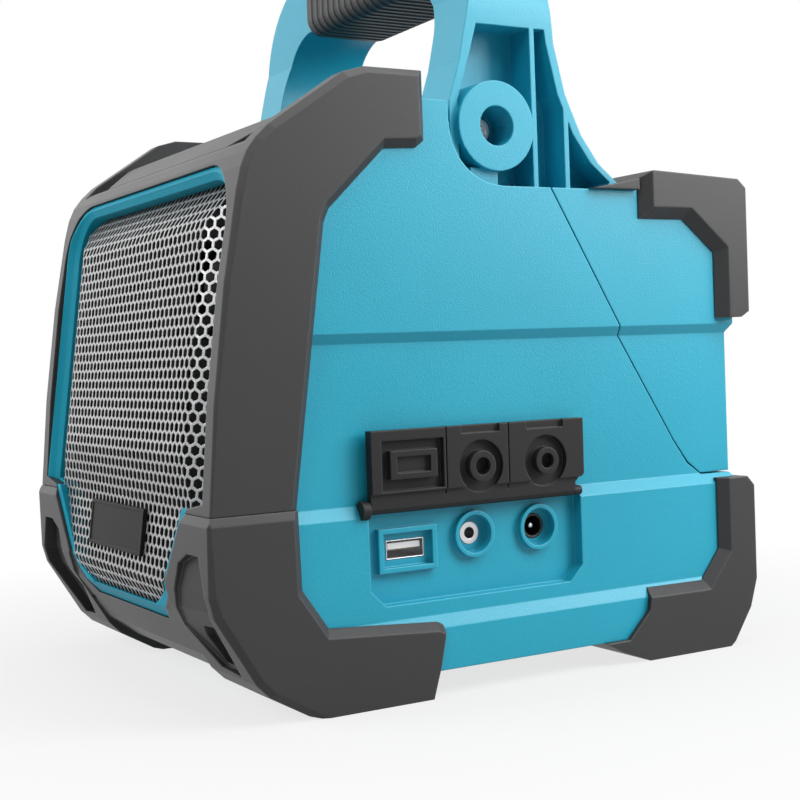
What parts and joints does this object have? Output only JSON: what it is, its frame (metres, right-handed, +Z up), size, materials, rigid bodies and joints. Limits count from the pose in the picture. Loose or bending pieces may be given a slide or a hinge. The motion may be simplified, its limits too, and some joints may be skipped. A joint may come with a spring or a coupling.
{
  "type": "bluetooth speaker",
  "caption": "Box-shaped cordless jobsite speaker with arched handle, rubber corner bumpers, perforated front grille, side ports under a hinged cover and a hinged rear cover over a battery bay.",
  "frame": {"origin": "centre of the bounding box at ground level, under the pads", "axes": "+Z up, front with the grille towards -Y, port side towards +X"},
  "size_m": [0.161, 0.201, 0.248],
  "materials": {
    "teal_shell": "fine satin moulding texture",
    "grey_bumper": "matt overmould",
    "black_plastic": "satin",
    "port_rubber": "matt",
    "key_rubber": "matt",
    "grille_sheet": "silver paint on perforated sheet",
    "cone_paper": "matt coated paper",
    "dome_silk": "coated cloth",
    "ferrite": "dull",
    "circuit_board": "solder mask",
    "steel": "plated"
  },
  "bodies": {
    "housing": {"main_housing": "teal_shell", "front_frame": "grey_bumper", "lower_front_bumper": "grey_bumper", "grille_trim": "teal_shell", "grille": "grille_sheet", "grille_badge": "black_plastic", "baffle": "black_plastic", "woofer_basket": "black_plastic", "woofer_surround": "port_rubber", "woofer_magnet": "ferrite", "woofer_screws": "steel", "tweeter_housing": "black_plastic", "tweeter_magnet": "ferrite", "control_panel": "black_plastic", "key_board": "circuit_board", "main_board": "circuit_board", "board_posts": "black_plastic", "port_board": "circuit_board", "usb_socket": "steel", "aux_socket": "steel", "dc_socket": "black_plastic", "port_cover_pin": "steel", "port_hinge_lugs": "black_plastic", "battery_bay": "black_plastic", "terminal_block_large": "black_plastic", "terminal_block_small": "black_plastic", "cover_hinge_pins": "steel", "lower_bumper_left": "grey_bumper", "lower_bumper_right": "grey_bumper", "handle_arch": "teal_shell", "handle_grip": "grey_bumper", "handle_screws": "steel", "bumper_screws": "steel"},
    "port_flap": {"port_cover": "port_rubber"},
    "rear_door": {"rear_cover": "teal_shell", "upper_bumper_left": "grey_bumper", "upper_bumper_right": "grey_bumper", "latch_pin": "steel"},
    "latch": {"cover_latch": "black_plastic"},
    "cone": {"woofer_cone": "cone_paper"},
    "dome": {"tweeter_dome": "dome_silk"},
    "button_1": {"key_1": "key_rubber"},
    "button_2": {"key_2": "key_rubber"},
    "button_3": {"key_3": "key_rubber"},
    "button_4": {"key_4": "key_rubber"},
    "button_5": {"key_5": "key_rubber"}
  },
  "joints": [
    {"name": "port_cover_hinge", "type": "hinge", "parent": "housing", "child": "port_flap", "pos_m": [0.0764, -0.01, 0.0577], "axis": [0, 1, 0], "range_deg": [0, 179]},
    {"name": "rear_cover_hinge", "type": "hinge", "parent": "housing", "child": "rear_door", "pos_m": [0, 0.098, 0.0586], "axis": [-1, 0, 0], "range_deg": [0, 95]},
    {"name": "cover_latch_pivot", "type": "hinge", "parent": "rear_door", "child": "latch", "pos_m": [0, 0.066, 0.1568], "axis": [-1, 0, 0], "range_deg": [0, 40]},
    {"name": "cone_slide", "type": "slide", "parent": "housing", "child": "cone", "axis": [0, -0.9904, 0.1381], "range_m": [-0.003, 0.003], "stiffness_N_per_m": 1000},
    {"name": "dome_slide", "type": "slide", "parent": "housing", "child": "dome", "axis": [0, -0.9904, 0.1381], "range_m": [-0.0003, 0.0003], "stiffness_N_per_m": 2000},
    {"name": "key_1_press", "type": "slide", "parent": "housing", "child": "button_1", "axis": [0, 0.1392, -0.9903], "range_m": [0, 0.001], "stiffness_N_per_m": 400},
    {"name": "key_2_press", "type": "slide", "parent": "housing", "child": "button_2", "axis": [0, 0.1392, -0.9903], "range_m": [0, 0.001], "stiffness_N_per_m": 400},
    {"name": "key_3_press", "type": "slide", "parent": "housing", "child": "button_3", "axis": [0, 0.1392, -0.9903], "range_m": [0, 0.001], "stiffness_N_per_m": 400},
    {"name": "key_4_press", "type": "slide", "parent": "housing", "child": "button_4", "axis": [0, 0.1392, -0.9903], "range_m": [0, 0.001], "stiffness_N_per_m": 400},
    {"name": "key_5_press", "type": "slide", "parent": "housing", "child": "button_5", "axis": [0, 0.1392, -0.9903], "range_m": [0, 0.001], "stiffness_N_per_m": 400}
  ]
}
